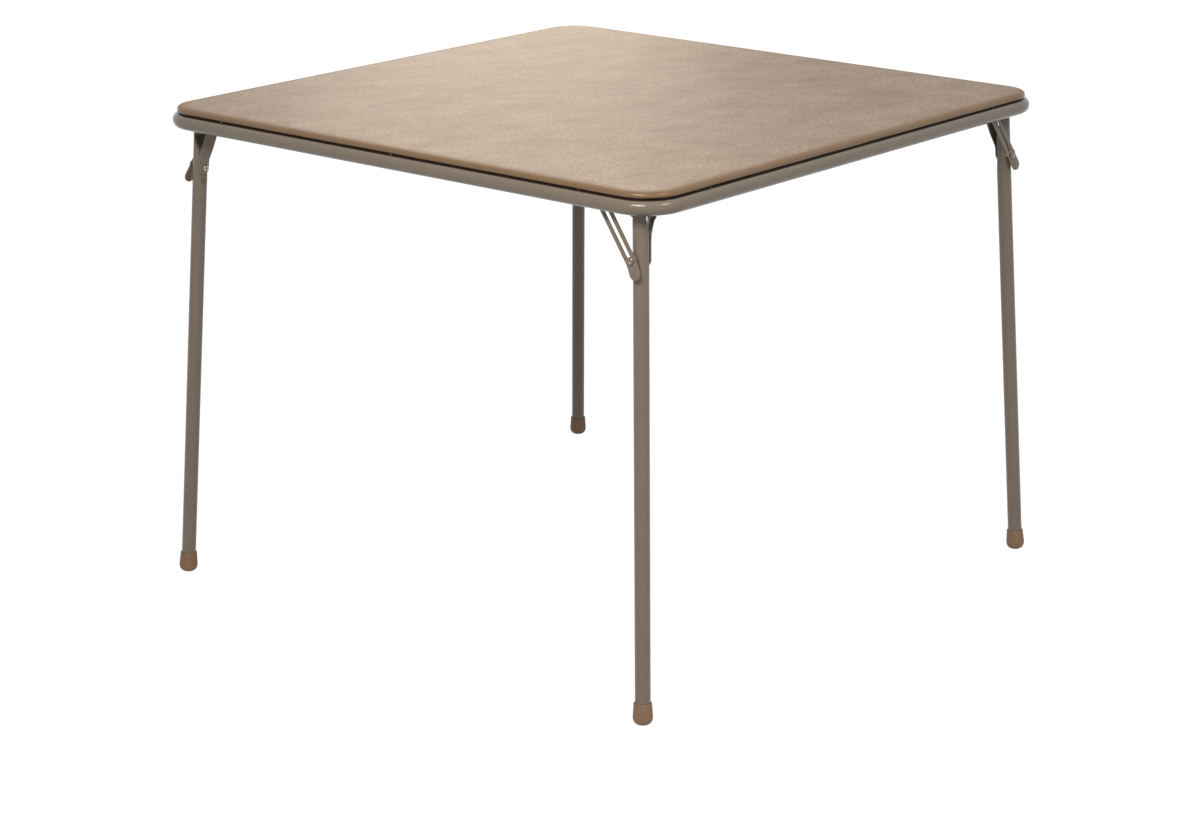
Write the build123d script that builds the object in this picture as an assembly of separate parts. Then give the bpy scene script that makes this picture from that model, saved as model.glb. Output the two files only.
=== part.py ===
from build123d import *
import math
import os

# Folding card table. Millimetres, +Z up, floor at Z = 0, origin under the middle of the top.
# The four corners repeat by quarter turns, so every leg folds along the rail that starts at
# its own corner and the folded legs chase each other round the frame.

# Overall sizes
frame_side = 965.2
table_height = 749.3
panel_thickness = 10.4

# Frame: one round tube bent into a square loop
rail_diameter = 22.2
rail_wall = 1.0
frame_corner_radius = 63.0

# Panel: hardboard, foam and a vinyl cover wrapped round the edge
panel_inset = 9.5
panel_corner_radius = 53.5
cover_thickness = 0.8
board_thickness = 3.2
cover_top_round = 6.0
cover_bottom_round = 2.0
cover_turn_in = 26.0

# Panel screws: driven up from inside the rail, each below an access hole
screws_per_side = 3
screw_shank_radius = 2.0
screw_hole_clearance = 0.05
screw_head_radius = 3.6
screw_head_height = 2.2
screw_bite = 2.4
access_hole_radius = 4.5
screw_row_share = 0.36

# Leg: round tube that leans outward both along its rail and away from the table
leg_diameter = 22.2
leg_wall = 1.0
leg_along_inset = 55.0
hinge_drop = 8.8
splay_along = 2.84
splay_out = 2.87

# Leg top: pressed flat on its inner side, deepest at the hinge
top_flat_depth = 5.5
seat_flat_depth = 1.1
top_flat_start = 6.0
seat_flat_start = 57.0
seat_flat_end = 82.0
flat_run_out = 88.0

# Hinge pin with its spacer
pin_radius = 3.0
running_clearance = 0.05
pin_head_radius = 5.0
pin_head_height = 1.5
side_clearance = 0.3

# Leg strap on the inner side, from the cross rivet up to the hinge pin
strap_thickness = 1.8
strap_half_width = 9.0
strap_spread = 10.3
strap_bend_low = 55.0
strap_bend_high = 12.0

# Cross rivet through the leg, and the stud that it meets
stud_distance = 68.6
stud_offset = 4.0
boss_radius = 4.2
boss_clearance = 0.3
rivet_end_radius = 4.6
rivet_end_height = 1.4
rivet_bore_radius = 1.9
stud_shank_radius = 3.5
stud_head_radius = 5.75
stud_head_height = 2.0
stud_head_round = 0.8

# Lock lever between the rail and the leg
lever_thickness = 1.8
lever_half_width = 9.25
lever_leg_gap = 4.9
lever_pivot_along = 53.4
lever_tab_length = 27.0
lever_tab_bend = 6.5
slot_clearance = 0.25
slot_end_clearance = 0.4
lock_notch_depth = 1.4
shoulder_radius = 3.4
lever_rivet_radius = 3.0
lever_rivet_head_radius = 5.0
lever_rivet_head_height = 1.7
lever_collar_radius = 4.5
lever_collar_length = 2.3
lever_rivet_reach = 6.0

# Hinge bracket: a folded steel channel riveted to the inner side of the rail
bracket_thickness = 1.8
bracket_outer_gap = 0.9
bracket_half_width = 12.0
cheek_drop = 10.0
bracket_web_gap = 4.4
wing_start_along = 7.0
wing_length = 33.0
wing_height = 17.0
wing_seat_clearance = 0.05
bracket_rivet_radius = 2.4
bracket_rivet_head_radius = 4.0
bracket_rivet_head_height = 1.4
bracket_rivet_reach = 4.0
bracket_rivet_edge = 7.0

# Foot tip: a rubber sleeve over the end of the leg, cut flat on the floor
tip_height = 34.0
tip_wall = 1.9
tip_swell = 3.9
tip_widest_height = 11.0
tip_sole_radius = 5.0
tip_rim_round = 1.0
tip_wear = 0.8
tip_floor = 3.0

# Cuts run past the faces that they cross
overrun = 2.0

rail_radius = rail_diameter / 2
leg_radius = leg_diameter / 2
half_side = frame_side / 2
strap_top_offset = leg_radius + strap_spread
tip_top_radius = leg_radius + tip_wall
tip_widest_radius = leg_radius + tip_swell
panel_underside = table_height - panel_thickness
rail_height = panel_underside - rail_radius
hinge_height = rail_height - hinge_drop
board_bottom = panel_underside + cover_thickness
board_top = board_bottom + board_thickness
foam_top = table_height - cover_thickness
corner_names = ["front_right", "front_left", "rear_left", "rear_right"]
quarter_turn = 90.0

# The lever lies between leg and rail, and its rivet's collar seats against the rail.
lever_inner_offset = leg_radius + lever_leg_gap
lever_outer_offset = lever_inner_offset + lever_thickness
leg_rail_inset = rail_diameter + lever_outer_offset + running_clearance + lever_collar_length

# The plane in which one leg folds leans out by splay_out: X runs along the rail towards the
# next corner, Y out of the table, and Z up. Its origin is the hinge pin.
hinge_point = (half_side - leg_along_inset, leg_rail_inset - half_side, hinge_height)
lean = math.radians(splay_out)
fold_plane = Plane(origin=hinge_point, x_dir=(-1, 0, 0), z_dir=(0, math.sin(lean), math.cos(lean)))
fold_range = quarter_turn + splay_along

# Folded, the leg lies level and the stud is stud_offset above it. The lever's pivot is at that
# height too, so that the folded lever lies flat along the rail.
splay = math.radians(splay_along)
stud_x = stud_offset * math.cos(splay) - stud_distance * math.sin(splay)
stud_z = -stud_distance * math.cos(splay) - stud_offset * math.sin(splay)
lever_pivot_z = stud_offset
lever_reach = math.hypot(lever_pivot_along - stud_x, lever_pivot_z - stud_z)
folded_reach = stud_distance - lever_pivot_along
lever_angle = math.degrees(math.atan2(lever_pivot_along - stud_x, lever_pivot_z - stud_z))


def at_corner(solid, turn):
    """Carry a piece of the front right corner to the corner that lies turn quarters on."""
    return Rot(0, 0, -quarter_turn * turn) * solid


def post(radius, low, high):
    """Upright round bar between two heights."""
    return Pos(0, 0, low) * Cylinder(radius, high - low, align=(Align.CENTER, Align.CENTER, Align.MIN))


def plate(sketch, outer_offset, thickness):
    """Thicken an outline drawn in X and Z, from outer_offset inward along Y."""
    return Pos(0, outer_offset, 0) * (Rot(quarter_turn, 0, 0) * extrude(sketch, thickness))


def rod(radius, outer_offset, inner_offset, along=0, up=0):
    """Round bar along Y between two offsets."""
    return plate(Pos(along, up) * Circle(radius), outer_offset, outer_offset - inner_offset)


def stadium(half_width, start, end):
    """Strip with two round ends, from start to end."""
    length = math.hypot(end[0] - start[0], end[1] - start[1])
    angle = math.degrees(math.atan2(end[1] - start[1], end[0] - start[0]))
    middle = ((start[0] + end[0]) / 2, (start[1] + end[1]) / 2)
    bar = Pos(*middle) * Rot(0, 0, angle) * Rectangle(length, half_width * 2)
    return bar + Pos(*start) * Circle(half_width) + Pos(*end) * Circle(half_width)


def rounded_slab(side, corner_radius, low, high):
    """Square slab with round corners between two heights."""
    return Pos(0, 0, low) * extrude(RectangleRounded(side, side, corner_radius), high - low)


def rail_loop(radius):
    """Round bar along the frame's closed centre line."""
    bend = frame_corner_radius - rail_radius
    straight = frame_side - frame_corner_radius * 2
    centre = half_side - rail_radius
    bend_centre = half_side - frame_corner_radius
    loop = None
    for turn in range(len(corner_names)):
        side = Rot(0, quarter_turn, 0) * Cylinder(radius, straight)
        side = Pos(0, -centre, rail_height) * side
        ring = Pos(bend, 0, 0) * Rot(quarter_turn, 0, 0) * Circle(radius)
        corner = Rot(0, 0, -quarter_turn) * revolve(ring, Axis.Z, quarter_turn)
        corner = Pos(bend_centre, -bend_centre, rail_height) * corner
        piece = at_corner(side + corner, turn)
        loop = piece if loop is None else loop + piece
    return loop


def screw_places():
    """Where the panel screws stand, in the middle and near both ends of every rail."""
    centre = half_side - rail_radius
    spread = frame_side * screw_row_share
    row = [spread * (index - (screws_per_side - 1) / 2) for index in range(screws_per_side)]
    return [(along, -centre) for along in row]


def frame_tube():
    """The bent tube with its rivet holes, screw holes and access holes."""
    tube = rail_loop(rail_radius) - rail_loop(rail_radius - rail_wall)
    for turn in range(len(corner_names)):
        for along, across in screw_places():
            hole = post(screw_shank_radius + screw_hole_clearance, rail_height, rail_height + rail_diameter)
            access = post(access_hole_radius, rail_height - rail_diameter, rail_height)
            tube = tube - at_corner(Pos(along, across) * (hole + access), turn)
        tube = tube - at_corner(fold_plane.location * lever_rivet_hole(), turn)
        for along in bracket_rivet_places():
            reach = bracket_rivet_reach + overrun
            hole = bracket_rivet_bar(bracket_rivet_radius + running_clearance, along, reach)
            tube = tube - at_corner(hole, turn)
    return tube


def panel_core():
    """The space inside the cover, which the hardboard and the foam fill."""
    side = frame_side - (panel_inset + cover_thickness) * 2
    core = rounded_slab(side, panel_corner_radius - cover_thickness, board_bottom, foam_top)
    return fillet(core.faces().sort_by(Axis.Z)[-1].edges(), cover_top_round - cover_thickness)


def panel_pieces():
    """Hardboard, foam and the cover wrapped round both and turned in under the edge."""
    side = frame_side - panel_inset * 2
    core = panel_core()
    foam_space = rounded_slab(frame_side, frame_corner_radius, board_top, table_height)
    board = core - foam_space
    foam = core & foam_space
    skin = rounded_slab(side, panel_corner_radius, panel_underside, table_height)
    skin = fillet(skin.faces().sort_by(Axis.Z)[-1].edges(), cover_top_round)
    skin = fillet(skin.faces().sort_by(Axis.Z)[0].edges(), cover_bottom_round)
    opening_side = side - cover_turn_in * 2
    opening_radius = panel_corner_radius - cover_turn_in
    opening = rounded_slab(opening_side, opening_radius, panel_underside - overrun, board_bottom)
    cover = skin - core - opening
    for hole in screw_set(screw_hole_clearance):
        cover = cover - hole
        board = board - hole
    return board, foam, cover


def screw_set(growth):
    """All panel screws, or the holes that they need when growth is above zero."""
    head_top = rail_height + rail_radius - rail_wall
    screws = []
    for turn in range(len(corner_names)):
        for along, across in screw_places():
            place = Pos(along, across)
            head_low = head_top - screw_head_height
            screw = place * post(screw_shank_radius + growth, head_low, board_bottom + screw_bite)
            if growth == 0:
                head = place * post(screw_head_radius, head_low, head_top)
                screw = screw + (head - rail_wall_over(along))
            screws.append(at_corner(screw, turn))
    return screws


def rail_wall_over(along):
    """The rail's wall over one screw, which rounds the top of the screw's head."""
    bar = Rot(0, quarter_turn, 0) * Cylinder(rail_radius, rail_diameter)
    bore = Rot(0, quarter_turn, 0) * Cylinder(rail_radius - rail_wall, rail_diameter)
    return Pos(along, rail_radius - half_side, rail_height) * (bar - bore)


def leg_envelope(radius, shift):
    """Leg with a round top end and the flat pressed into its inner side."""
    length = leg_length() - tip_floor
    outline = Circle(radius) + Pos(0, -length / 2) * Rectangle(radius * 2, length)
    bar = post(radius, -length, radius) & plate(outline, leg_radius, leg_diameter)
    flat = [
        (-leg_diameter, leg_diameter),
        (top_flat_depth - leg_radius + shift, leg_diameter),
        (top_flat_depth - leg_radius + shift, -top_flat_start),
        (seat_flat_depth - leg_radius + shift, -seat_flat_start),
        (seat_flat_depth - leg_radius + shift, -seat_flat_end),
        (-leg_radius + shift, -flat_run_out),
        (-leg_diameter, -flat_run_out),
    ]
    cutter = extrude(Plane.YZ * make_face(Polyline(*flat, close=True)), leg_diameter, both=True)
    return bar - cutter


def leg_length():
    """From the hinge pin along the leg's centre line to the floor."""
    return hinge_height / (math.cos(splay) * math.cos(lean))


def on_leg(solid):
    """Turn a piece that is drawn along an upright leg into the leaning leg's place."""
    return fold_plane.location * (Rot(0, splay_along, 0) * solid)


def leg_tube():
    """Leg with its holes for the hinge pin and the cross rivet."""
    tube = leg_envelope(leg_radius, 0) - leg_envelope(leg_radius - leg_wall, leg_wall)
    open_end = Pos(0, 0, -leg_length()) * Cylinder(leg_radius - leg_wall, leg_diameter)
    return tube - open_end - leg_holes()


def leg_holes():
    """Holes across the leg and its strap for the hinge pin and for the cross rivet."""
    radius = pin_radius + running_clearance
    inner = -leg_diameter * 2
    return rod(radius, leg_diameter, inner) + rod(radius, leg_diameter, inner, stud_offset, -stud_distance)


def leg_strap():
    """Flat strap that starts on the leg's flat and spreads inward to the hinge pin."""
    inner_face = seat_flat_depth - leg_radius
    low = -stud_distance - strap_half_width - overrun
    high = strap_half_width + overrun
    path = [
        (inner_face, low),
        (inner_face, -strap_bend_low),
        (-strap_top_offset, -strap_bend_high),
        (-strap_top_offset, high),
        (-strap_top_offset - strap_thickness, high),
        (-strap_top_offset - strap_thickness, -strap_bend_high),
        (inner_face - strap_thickness, -strap_bend_low),
        (inner_face - strap_thickness, low),
    ]
    band = extrude(Plane.YZ * make_face(Polyline(*path, close=True)), leg_diameter, both=True)
    outline = stadium(strap_half_width, (stud_offset, -stud_distance), (0, 0))
    return (band & plate(outline, 0, leg_diameter * 2)) - leg_holes()


def hinge_spacer():
    """Bush on the hinge pin between the leg's flat and the strap."""
    start = top_flat_depth - leg_radius
    ring = rod(pin_head_radius, start, -strap_top_offset)
    return ring - rod(pin_radius + running_clearance, start + overrun, -strap_top_offset - overrun)


def cross_rivet():
    """Hollow rivet through leg and strap, with the boss that the stud seats against."""
    seat = seat_flat_depth - leg_radius - strap_thickness
    tip = lever_inner_offset - boss_clearance
    bar = rod(pin_radius, tip, seat - rivet_end_height, stud_offset, -stud_distance)
    boss = rod(boss_radius, tip, leg_radius, stud_offset, -stud_distance)
    rolled = rod(rivet_end_radius, seat, seat - rivet_end_height, stud_offset, -stud_distance)
    rivet = bar + boss + rolled
    bore_end = seat - rivet_end_height - overrun
    return rivet - rod(rivet_bore_radius, seat + leg_radius, bore_end, stud_offset, -stud_distance)


def foot_tip():
    """Rubber tip, turned about the leg's centre line and cut level at the floor."""
    arc_end = (tip_widest_radius, tip_widest_height)
    sole = (tip_sole_radius, -tip_wear)
    sole_arc = TangentArc(sole, arc_end, tangent=(1, 0))
    rim_low = (tip_top_radius, tip_height - tip_rim_round)
    rim_high = (tip_top_radius - tip_rim_round, tip_height)
    outline = [
        Line((0, -tip_wear), sole),
        sole_arc,
        Line(arc_end, rim_low),
        TangentArc(rim_low, rim_high, tangent=(0, 1)),
        Line(rim_high, (leg_radius, tip_height)),
        Line((leg_radius, tip_height), (leg_radius, tip_floor)),
        Line((leg_radius, tip_floor), (0, tip_floor)),
        Line((0, tip_floor), (0, -tip_wear)),
    ]
    tip = revolve(Plane.XZ * make_face(outline), Axis.Z)
    return Pos(0, 0, -leg_length()) * tip


def below_floor():
    """Block under the floor, which levels the soles of the tips."""
    return Box(frame_side * 2, frame_side * 2, tip_height, align=(Align.CENTER, Align.CENTER, Align.MAX))


def lever_rivet_hole():
    """Hole for the lever's rivet in the rail's inner wall."""
    outer = lever_outer_offset + lever_rivet_reach + overrun
    radius = lever_rivet_radius + running_clearance
    return rod(radius, outer, lever_outer_offset, lever_pivot_along, lever_pivot_z)


def lever_rivet():
    """Shouldered rivet that carries the lever on the rail."""
    outer = lever_outer_offset + lever_rivet_reach
    head_inner = lever_inner_offset - running_clearance - lever_rivet_head_height
    shank = rod(lever_rivet_radius, outer, head_inner, lever_pivot_along, lever_pivot_z)
    head_face = lever_inner_offset - running_clearance
    head = rod(lever_rivet_head_radius, head_face, head_inner, lever_pivot_along, lever_pivot_z)
    collar_low = lever_outer_offset + running_clearance
    collar_high = collar_low + lever_collar_length
    collar = rod(lever_collar_radius, collar_high, collar_low, lever_pivot_along, lever_pivot_z)
    return shank + head + collar


def lock_lever():
    """Slotted lever from its rivet down to the finger tab."""
    foot = (0, -lever_reach)
    tab_run = lever_tab_length - lever_half_width
    bend = math.radians(lever_tab_bend)
    tab = (tab_run * math.sin(bend), -lever_reach - tab_run * math.cos(bend))
    slot_half = stud_shank_radius + slot_clearance
    slot_low = (0, -lever_reach - slot_end_clearance)
    slot_high = (0, -folded_reach + slot_end_clearance)
    outline = stadium(lever_half_width, (0, 0), foot) + stadium(lever_half_width, foot, tab)
    outline = outline + Pos(-lever_half_width, -lever_reach) * Circle(shoulder_radius)
    outline = outline - stadium(slot_half, slot_low, slot_high)
    outline = outline - stadium(slot_half, slot_low, (-lock_notch_depth, slot_low[1]))
    outline = outline - Circle(lever_rivet_radius + running_clearance)
    lever = plate(outline, lever_outer_offset, lever_thickness)
    return Pos(lever_pivot_along, 0, lever_pivot_z) * Rot(0, lever_angle, 0) * lever


def lock_stud():
    """Headed stud that rides in the lever's slot."""
    head_low = lever_outer_offset + side_clearance
    head = rod(stud_head_radius, head_low + stud_head_height, head_low, stud_x, stud_z)
    head = fillet(head.faces().sort_by(Axis.Y)[-1].edges(), stud_head_round)
    return head + rod(stud_shank_radius, head_low, lever_inner_offset, stud_x, stud_z)


def wing_face():
    """Inset of the bracket's wing where it lies against the rail."""
    return rail_diameter + wing_seat_clearance


def bracket_rivet_places():
    """Distances from the hinge, along the rail, of the two rivets of a bracket."""
    return [wing_start_along + bracket_rivet_edge, wing_start_along + wing_length - bracket_rivet_edge]


def bracket_rivet_bar(radius, along, reach):
    """Level bar across the wing and the rail's inner wall, in the table's frame."""
    bar = Rot(quarter_turn, 0, 0) * post(radius, 0, reach + bracket_thickness)
    across = wing_face() + bracket_thickness - half_side
    return Pos(hinge_point[0] - along, across, rail_height) * bar


def hinge_bracket():
    """Channel over the leg's top end, with a wing down the inner side of the rail."""
    outer_low = leg_radius + bracket_outer_gap
    inner_high = -strap_top_offset - strap_thickness - side_clearance
    web_low = leg_radius + bracket_web_gap
    web_high = web_low + bracket_thickness
    cheek_height = web_high + cheek_drop
    cheek_middle = web_high - cheek_height / 2
    cheek = Pos(0, cheek_middle) * Rectangle(bracket_half_width * 2, cheek_height)
    cheek = fillet(cheek.vertices().group_by(Axis.Y)[0], cheek_drop)
    outer_cheek = plate(cheek, outer_low + bracket_thickness, bracket_thickness)
    inner_cheek = plate(cheek, inner_high, bracket_thickness)
    wing_offset = (leg_rail_inset - wing_face()) / math.cos(lean)
    web_middle = (web_low + web_high) / 2
    web_outline = Pos(0, web_middle) * Rectangle(bracket_half_width * 2, bracket_thickness)
    web = plate(web_outline, outer_low + bracket_thickness, outer_low - inner_high + bracket_thickness * 2)
    arm_low = wing_start_along
    arm_centre = arm_low + wing_length / 2
    arm_outline = Pos(arm_centre, web_middle) * Rectangle(wing_length, bracket_thickness)
    arm = plate(arm_outline, wing_offset, wing_offset - inner_high + bracket_thickness)
    channel = outer_cheek + inner_cheek + web + arm
    channel = channel - rod(pin_radius + running_clearance, leg_diameter, -leg_diameter * 2)
    channel = fold_plane.location * channel
    wing_centre = (
        hinge_point[0] - arm_centre,
        wing_face() + bracket_thickness / 2 - half_side,
        panel_underside - side_clearance - wing_height / 2,
    )
    wing = Pos(*wing_centre) * Box(wing_length, bracket_thickness, wing_height)
    bracket = channel + wing
    for along in bracket_rivet_places():
        hole_radius = bracket_rivet_radius + running_clearance
        bracket = bracket - bracket_rivet_bar(hole_radius, along, bracket_rivet_reach)
    return bracket


def bracket_rivet(along):
    """Round-headed rivet through the wing into the rail."""
    shank = bracket_rivet_bar(bracket_rivet_radius, along, bracket_rivet_reach)
    head = Rot(quarter_turn, 0, 0) * post(bracket_rivet_head_radius, -bracket_rivet_head_height, 0)
    across = wing_face() + bracket_thickness - half_side
    return shank + Pos(hinge_point[0] - along, across, rail_height) * head


def hinge_pin():
    """Pin through both cheeks, the leg, the spacer and the strap, headed at both ends."""
    outer = leg_radius + bracket_outer_gap + bracket_thickness
    inner = -strap_top_offset - strap_thickness - side_clearance - bracket_thickness
    shank = rod(pin_radius, outer, inner)
    outer_head = rod(pin_head_radius, outer + pin_head_height, outer)
    return shank + outer_head + rod(pin_head_radius, inner, inner - pin_head_height)


def save(solid, name):
    """Write one piece, or one group of like pieces, under its node's name."""
    export_step(solid, os.path.join("parts", name + ".step"))


def report_joints():
    """Print hinge points, axes, ranges and ratios in the table's frame."""
    inward = Vector(0, math.cos(lean), -math.sin(lean))
    stud_world = fold_plane.from_local_coords(Vector(stud_x, 0, stud_z))
    pivot_world = fold_plane.from_local_coords(Vector(lever_pivot_along, 0, lever_pivot_z))
    slide = (pivot_world - stud_world).normalized()
    lever_range = quarter_turn + lever_angle
    travel = lever_reach - folded_reach
    print("fold range", fold_range, "lever range", lever_range, "ratio", lever_range / fold_range)
    print("stud travel", travel, "per radian", travel / math.radians(fold_range))
    for turn, name in enumerate(corner_names):
        spin = Rot(0, 0, -quarter_turn * turn)
        points = [spin * Pos(*point) for point in (hinge_point, pivot_world, stud_world, inward, slide)]
        print(name, *(tuple(round(value, 6) for value in place.position) for place in points))


def build():
    """Make every piece and write it."""
    os.makedirs("parts", exist_ok=True)
    save(frame_tube(), "frame_tube")
    board, foam, cover = panel_pieces()
    save(board, "panel_board")
    save(foam, "foam_pad")
    save(cover, "vinyl_cover")
    save(Compound(children=screw_set(0)), "panel_screws")
    rivets = []
    leg_pieces = {
        "leg_tube": on_leg(leg_tube()),
        "leg_strap": on_leg(leg_strap()),
        "hinge_spacer": on_leg(hinge_spacer()),
        "cross_rivet": on_leg(cross_rivet()),
        "foot_tip": on_leg(foot_tip()) - below_floor(),
    }
    corner_pieces = {
        "hinge_bracket": hinge_bracket(),
        "hinge_pin": fold_plane.location * hinge_pin(),
        "lever_rivet": fold_plane.location * lever_rivet(),
        "lock_lever": fold_plane.location * lock_lever(),
        "lock_stud": fold_plane.location * lock_stud(),
    }
    corner_pieces.update(leg_pieces)
    for turn, corner in enumerate(corner_names):
        for name, solid in corner_pieces.items():
            save(at_corner(solid, turn), name + "_" + corner)
        for along in bracket_rivet_places():
            rivets.append(at_corner(bracket_rivet(along), turn))
    save(Compound(children=rivets), "bracket_rivets")
    report_joints()


build()
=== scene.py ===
# %% [markdown]
# A folding card table, dressed for its portrait.
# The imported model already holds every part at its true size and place: the bent tube frame, the
# padded panel, four legs and the small hardware that locks them. Blender adds what the eye needs:
# soft edges, rolled rivets, moulded rubber, and finishes with a scale in real millimetres.
# Everything is in metres, with the floor at Z = 0 and the origin under the middle of the top.

# %% Load the model
import math

import bmesh
import bpy
from mathutils import Matrix, Vector, noise


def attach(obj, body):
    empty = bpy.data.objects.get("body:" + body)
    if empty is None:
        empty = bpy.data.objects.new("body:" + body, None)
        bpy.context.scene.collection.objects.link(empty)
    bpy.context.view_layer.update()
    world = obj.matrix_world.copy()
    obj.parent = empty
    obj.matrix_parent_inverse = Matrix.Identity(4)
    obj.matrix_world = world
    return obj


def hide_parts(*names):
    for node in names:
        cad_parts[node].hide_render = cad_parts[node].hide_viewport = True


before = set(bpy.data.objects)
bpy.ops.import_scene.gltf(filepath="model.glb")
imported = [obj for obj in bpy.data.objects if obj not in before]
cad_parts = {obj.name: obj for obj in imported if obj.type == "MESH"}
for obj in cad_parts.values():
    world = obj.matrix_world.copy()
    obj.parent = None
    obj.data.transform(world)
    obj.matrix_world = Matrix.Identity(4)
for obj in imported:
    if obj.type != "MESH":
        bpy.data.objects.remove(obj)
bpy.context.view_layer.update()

# %% [markdown]
# Small tools for the workbench.
# At the screen, the selection is dropped, the faces to work on are clicked and a key is pressed.
# In a script each of those is one short call. Sizes are easier to read in millimetres, so they are
# written that way and turned to metres in one place.

# %% Workbench tools
MM = 0.001
MERGE_GAP = 0.002 * MM
SMOOTH_ANGLE = math.radians(35)


def drop_selection():
    """Nothing stays selected, so an operator can't catch a part of the loaded model."""
    bpy.ops.object.select_all(action="DESELECT")


def hold(piece):
    """Selects one piece and nothing else."""
    drop_selection()
    bpy.context.view_layer.objects.active = piece
    piece.select_set(True)


def work_on(piece, kind="VERT", action="DESELECT"):
    """Opens one piece in edit mode with nothing selected, or with all of it."""
    hold(piece)
    bpy.ops.object.mode_set(mode="EDIT")
    take_all(kind, action)


def take_all(kind, action="SELECT"):
    """Selects, or drops, every vertex, edge or face of the piece that is being edited."""
    bpy.ops.mesh.select_mode(type=kind)
    bpy.ops.mesh.select_all(action=action)


def pick(piece, kind, test):
    """Selects the vertices, edges or faces for which the test holds, and nothing else."""
    take_all(kind, "DESELECT")
    mesh = bmesh.from_edit_mesh(piece.data)
    found = {"VERT": mesh.verts, "EDGE": mesh.edges, "FACE": mesh.faces}[kind]
    for part in found:
        if test(part):
            part.select = True
    mesh.select_flush_mode()
    bmesh.update_edit_mesh(piece.data)


def stop_work():
    """Back to object mode."""
    bpy.ops.object.mode_set(mode="OBJECT")


def settle(piece, place=None):
    """Writes a piece's place into its mesh, so that its object sits at the origin."""
    hold(piece)
    if place is not None:
        piece.matrix_world = place @ piece.matrix_world
    bpy.ops.object.transform_apply(location=True, rotation=True, scale=True)
    return piece


def finish_with(piece, kind, **settings):
    """Adds one modifier and applies it."""
    hold(piece)
    modifier = piece.modifiers.new(kind.lower(), kind)
    for name, value in settings.items():
        setattr(modifier, name, value)
    bpy.ops.object.modifier_apply(modifier=modifier.name)


def face_outward(piece):
    """Merges doubled vertices, turns every face outward and shades the soft edges smooth."""
    work_on(piece, action="SELECT")
    bpy.ops.mesh.remove_doubles(threshold=MERGE_GAP)
    bpy.ops.mesh.normals_make_consistent(inside=False)
    stop_work()
    bpy.ops.object.shade_smooth_by_angle(angle=SMOOTH_ANGLE)


def dress(piece, material):
    """Gives a piece one finish all over."""
    piece.data.materials.clear()
    piece.data.materials.append(material)


print("workbench ready")

# %% [markdown]
# A lathe.
# Rivets, studs, bushes, tips and the legs themselves are round, as a lathe would turn them. Such a
# form can be spun from a drawn profile, but a spin leaves a seam to close. Here a filled circle is
# extruded and scaled ring by ring, which gives a closed body at once.

# %% Lathe
def turn_on_lathe(name, rings, steps=48):
    """Turns a closed round form about Z: it starts from a filled circle, and every further
    (radius, height) in millimetres extrudes the last face and scales it."""
    drop_selection()
    radius, height = rings[0]
    bpy.ops.mesh.primitive_circle_add(
        vertices=steps, radius=radius * MM, fill_type="NGON", location=(0, 0, height * MM)
    )
    piece = settle(bpy.context.object)
    piece.name = name
    work_on(piece, "FACE", "SELECT")
    for next_radius, next_height in rings[1:]:
        rise = (0, 0, (next_height - height) * MM)
        bpy.ops.mesh.extrude_region_move(TRANSFORM_OT_translate={"value": rise})
        ratio = next_radius / radius
        middle = (0, 0, next_height * MM)
        bpy.ops.transform.resize(value=(ratio, ratio, 1), center_override=middle)
        radius, height = next_radius, next_height
    stop_work()
    face_outward(piece)
    return piece


print("lathe ready")

# %% [markdown]
# Where the four corners are.
# One corner is described in the plane in which its leg folds: X runs along the rail in the way that
# the leg folds, Y points out of the table and Z up, with the hinge pin at the origin. That plane
# leans out a little, and the open leg leans a little in it. Each piece of a corner is modelled
# upright once, carried into place by one matrix, and copied to the other corners by quarter turns.

# %% Corner frames
CORNERS = ["front_right", "front_left", "rear_left", "rear_right"]
LEAN = math.radians(2.87)
SPLAY = math.radians(2.84)
HINGE = Vector((427.6, -440.25, 719.0)) * MM
HINGE_TO_FLOOR = 720.8

fold_frame = Matrix(
    (
        (-1, 0, 0, HINGE.x),
        (0, -math.cos(LEAN), math.sin(LEAN), HINGE.y),
        (0, math.sin(LEAN), math.cos(LEAN), HINGE.z),
        (0, 0, 0, 1),
    )
)
leg_frame = fold_frame @ Matrix.Rotation(SPLAY, 4, "Y")
along_y = Matrix.Rotation(math.radians(-90), 4, "X")


def place_at(*millimetres):
    """A plain move, in millimetres."""
    return Matrix.Translation([value * MM for value in millimetres])


foot_frame = leg_frame @ place_at(0, 0, -HINGE_TO_FLOOR)
print("foot stands near", [round(value, 4) for value in foot_frame.translation])

# %% [markdown]
# Four of each.
# A finished piece is copied to the other three corners, each copy with its own mesh. Every copy gets
# its finish and is attached to the body that carries it, and the solid that it stands for is hidden.

# %% Copies for the four corners
def share_out(piece, base, body, stands_for, material):
    """Copies a finished front right piece to all four corners, each copy with its own mesh."""
    dress(piece, material)
    copies = [piece]
    for turn in (1, 2, 3):
        copy = piece.copy()
        copy.data = piece.data.copy()
        bpy.context.scene.collection.objects.link(copy)
        copies.append(settle(copy, Matrix.Rotation(math.radians(-90 * turn), 4, "Z")))
    for copy, corner in zip(copies, CORNERS):
        copy.name = f"{base}_{corner}"
        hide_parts(f"{stands_for}_{corner}")
        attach(copy, f"{body}_{corner}")
    print(base, "x 4,", len(piece.data.polygons), "faces each")


print("corners:", CORNERS)

# %% [markdown]
# The camera.
# The photograph was taken with a long lens from the right and a little above. Its lens, place and
# aim were worked out from the table's known sizes, so the picture's frame needs no shift.

# %% Camera
CAMERA_PLACE = (2802.8, -3362.0, 1610.6)
AZIMUTH, ELEVATION, ROLL = (math.radians(angle) for angle in (39.94, 17.36, -0.07))

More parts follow.
